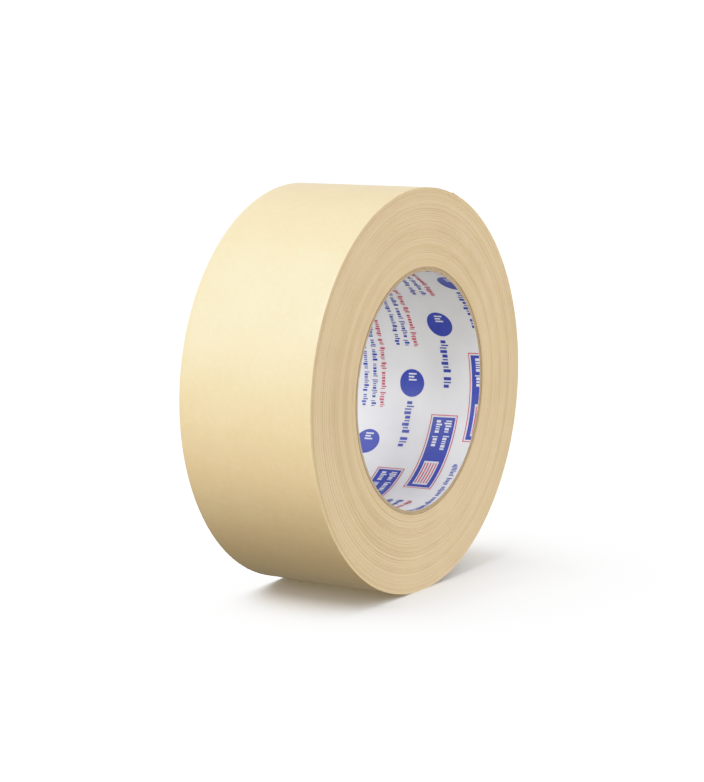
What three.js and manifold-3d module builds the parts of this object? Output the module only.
// A roll of masking tape on a spiral-wound paperboard core.
//
// Millimetres, +Z up. The roll stands on its rim: the origin is the middle of the
// flat that it stands on, and the core's axis runs along Y above it.
//
// The core is four plies wound one on another: a printed white liner and three
// plies of chipboard. Each ply is a paper strip wound on a slant, so that its
// edges meet in a seam that climbs round the core. The tape is one long strip
// wound on the core in a spiral. Its last few centimetres are the free end, cut
// here into short lengths that are hinged together, because the end bends away
// from the roll when it is peeled.

import * as THREE from "three";
import { mergeVertices } from "three/addons/utils/BufferGeometryUtils.js";
import Module from "manifold-3d";

const wasm = await Module();
wasm.setup();

// ---- Driving dimensions ----------------------------------------------------

// Core
const BORE_DIAMETER = 76.5; // a 3 inch core with its running clearance
const CORE_SETBACK = 0.2; // of the core's ends behind the tape's edges
const LINER_THICKNESS = 0.15;
const CHIPBOARD_THICKNESS = 0.36;
const GLUE_LINE = 0.03; // the adhesive film between two plies
const PLY_STRIP_WIDTH = 100; // of the paper strip that each ply is wound from
const SEAM_GAP = 0.4; // between the edges of a ply's strip, square to the seam

// Tape
const TAPE_WIDTH = 48;
const TAPE_THICKNESS = 0.1524; // 6 mil crepe paper and its adhesive
const TAPE_LENGTH = 54860; // 60 yards
const LAP_GAP = 0.05; // under the free end, which only lies on the lap below

// Free end
const END_PIECES = ["root", "middle", "tip"]; // from where it peels to the cut
const END_PIECE_LENGTH = 20; // along the tape
const HINGE_GAP = 0.05; // between two of the end's pieces
const END_ROOT_FACET = 29; // facets round from the one that the roll stands on

// Roundness of the model
const FACETS = 96; // flats round each full turn
const SEAM_STEPS = 24; // flats along each seam
const END_STEPS = 6; // flats along each of the end's pieces

// ---- Materials -----------------------------------------------------------------

const crepePaper = new THREE.MeshStandardMaterial({
  color: 0xe6d0a2,
  roughness: 0.72,
  metalness: 0,
});
const linerPaper = new THREE.MeshStandardMaterial({
  color: 0xe9e9ec,
  roughness: 0.55,
  metalness: 0,
});
const chipboard = new THREE.MeshStandardMaterial({
  color: 0x8f7f66,
  roughness: 0.9,
  metalness: 0,
});

// ---- Plies -----------------------------------------------------------------------

// From the bore outwards. seamAt is where the seam crosses the roll's middle, as
// a share of a turn from +X, chosen so that no two seams lie over each other.
const PLIES = [
  {
    name: "core_liner",
    thickness: LINER_THICKNESS,
    seamAt: 0.5,
    material: linerPaper,
  },
  {
    name: "core_ply_inner",
    thickness: CHIPBOARD_THICKNESS,
    seamAt: 0.1,
    material: chipboard,
  },
  {
    name: "core_ply_middle",
    thickness: CHIPBOARD_THICKNESS,
    seamAt: 0.7,
    material: chipboard,
  },
  {
    name: "core_ply_outer",
    thickness: CHIPBOARD_THICKNESS,
    seamAt: 0.3,
    material: chipboard,
  },
];

// ---- Sizes that follow -------------------------------------------------------

const FACET_ANGLE = (2 * Math.PI) / FACETS;
const DOWN = -Math.PI / 2;

const CORE_LENGTH = TAPE_WIDTH - 2 * CORE_SETBACK;
const CORE_WALL = PLIES.reduce((sum, ply) => sum + ply.thickness + GLUE_LINE, 0);
const WINDING_INNER_RADIUS = BORE_DIAMETER / 2 + CORE_WALL;

// A strip of this length and thickness fills this ring's area.
const WINDING_OUTER_RADIUS = Math.sqrt(
  WINDING_INNER_RADIUS ** 2 + (TAPE_LENGTH * TAPE_THICKNESS) / Math.PI,
);

// The free end's root lies on a facet's edge. The facet that faces down is
// level, so the root is a whole number of facets and a half round from down.
const END_ROOT_ANGLE = DOWN + (END_ROOT_FACET + 0.5) * FACET_ANGLE;
const END_PIECE_ANGLE = END_PIECE_LENGTH / WINDING_OUTER_RADIUS;

// The spiral: the radius of the winding's outside, at an angle past the root.
// It climbs by one tape thickness in a turn.
function windingRadius(pastRoot) {
  return WINDING_OUTER_RADIUS - TAPE_THICKNESS * (1 - pastRoot / (2 * Math.PI));
}

const DOWN_PAST_ROOT = 2 * Math.PI + DOWN - END_ROOT_ANGLE;
const AXIS_HEIGHT = windingRadius(DOWN_PAST_ROOT) * Math.cos(FACET_ANGLE / 2);

// ---- Solids ----------------------------------------------------------------------

// A closed three.js geometry as a manifold-3d solid.
function toSolid(geometry) {
  const bare = geometry.clone();
  bare.deleteAttribute("normal");
  bare.deleteAttribute("uv");
  const merged = mergeVertices(bare);
  return new wasm.Manifold(
    new wasm.Mesh({
      numProp: 3,
      vertProperties: merged.attributes.position.array,
      triVerts: new Uint32Array(merged.index.array),
    }),
  );
}

function toGeometry(solid) {
  const mesh = solid.getMesh();
  const geometry = new THREE.BufferGeometry();
  geometry.setAttribute("position", new THREE.BufferAttribute(mesh.vertProperties, 3));
  geometry.setIndex(new THREE.BufferAttribute(mesh.triVerts, 1));
  geometry.computeVertexNormals();
  return geometry;
}

// An outline in the X-Z plane, as deep along Y as asked and centred on it.
function extrudeAlongAxis(shape, depth) {
  const geometry = new THREE.ExtrudeGeometry(shape, { depth, bevelEnabled: false });
  geometry.translate(0, 0, -depth / 2);
  geometry.rotateX(Math.PI / 2); // the outline's y becomes z
  return geometry;
}

function pointAt(radius, angle) {
  return new THREE.Vector2(radius * Math.cos(angle), radius * Math.sin(angle));
}

// The corners of a round outline, one at each facet's edge.
function facetedCircle(radius) {
  return Array.from({ length: FACETS }, (_, i) =>
    pointAt(radius, END_ROOT_ANGLE + i * FACET_ANGLE),
  );
}

// Rolls up a flat box: its x runs round the axis, its z outwards, and its y along
// the axis towards -Y, which keeps its faces pointing out. angleOf and radiusOf
// take a point of the flat box.
function rollUp(box, angleOf, radiusOf) {
  const position = box.attributes.position;
  for (let i = 0; i < position.count; i++) {
    const [x, y, z] = [position.getX(i), position.getY(i), position.getZ(i)];
    const { x: across, y: up } = pointAt(radiusOf(x, z), angleOf(x, y));
    position.setXYZ(i, across, -y, up);
  }
  box.computeVertexNormals();
  return box;
}

// ---- Core --------------------------------------------------------------------------

// The thin blade that parts a ply along its seam. A strip wound at a slant so
// that its edges meet has a lead of one turn's length times the slant's tangent.
function seamBlade(innerRadius, outerRadius, seamAt) {
  const middle = (innerRadius + outerRadius) / 2;
  const slant = Math.asin(PLY_STRIP_WIDTH / (2 * Math.PI * middle));
  const lead = 2 * Math.PI * middle * Math.tan(slant);
  const past = outerRadius - innerRadius; // how far the blade stands out of the ply
  const blade = new THREE.BoxGeometry(
    SEAM_GAP / Math.sin(slant),
    CORE_LENGTH + 2 * past,
    3 * past,
    1,
    SEAM_STEPS,
    1,
  );
  return rollUp(
    blade,
    (x, y) => 2 * Math.PI * (seamAt + y / lead) + x / middle,
    (x, z) => middle + z,
  );
}

function makePly({ name, thickness, seamAt, material }, innerRadius) {
  const outerRadius = innerRadius + thickness;
  const ring = new THREE.Shape(facetedCircle(outerRadius));
  ring.holes.push(new THREE.Path(facetedCircle(innerRadius)));
  const tube = toSolid(extrudeAlongAxis(ring, CORE_LENGTH));
  const blade = toSolid(seamBlade(innerRadius, outerRadius, seamAt));
  const ply = new THREE.Mesh(toGeometry(tube.subtract(blade)), material);
  ply.name = name;
  return ply;
}

function makeCore() {
  const core = new THREE.Group();
  let innerRadius = BORE_DIAMETER / 2;
  for (const ply of PLIES) {
    core.add(makePly(ply, innerRadius));
    innerRadius += ply.thickness + GLUE_LINE;
  }
  return core;
}

// ---- Tape --------------------------------------------------------------------------

// Every lap but the free end. Its outline is one turn of the spiral, with a step
// one tape thick where the free end leaves it.
function makeWinding() {
  const spiral = Array.from({ length: FACETS + 1 }, (_, i) =>
    pointAt(windingRadius(i * FACET_ANGLE), END_ROOT_ANGLE + i * FACET_ANGLE),
  );
  const outline = new THREE.Shape(spiral);
  outline.holes.push(new THREE.Path(facetedCircle(WINDING_INNER_RADIUS)));
  const winding = new THREE.Mesh(extrudeAlongAxis(outline, TAPE_WIDTH), crepePaper);
  winding.name = "tape_winding";
  return winding;
}

// One length of the free end, lying on the lap below it.
function makeEndPiece(label, index) {
  const flat = new THREE.BoxGeometry(
    END_PIECE_LENGTH - HINGE_GAP,
    TAPE_WIDTH,
    TAPE_THICKNESS,
    END_STEPS,
    1,
    1,
  );
  const middle = (index + 0.5) * END_PIECE_ANGLE;
  const pastRoot = (x) => middle + x / WINDING_OUTER_RADIUS;
  const piece = new THREE.Mesh(
    rollUp(
      flat,
      (x) => END_ROOT_ANGLE + pastRoot(x),
      (x, z) => windingRadius(pastRoot(x)) + LAP_GAP + TAPE_THICKNESS / 2 + z,
    ),
    crepePaper,
  );
  piece.name = `tape_end_${label}`;
  return piece;
}

// ---- Roll --------------------------------------------------------------------------

const roll = new THREE.Group();
roll.add(makeCore(), makeWinding(), ...END_PIECES.map(makeEndPiece));
roll.position.z = AXIS_HEIGHT;

export default roll;
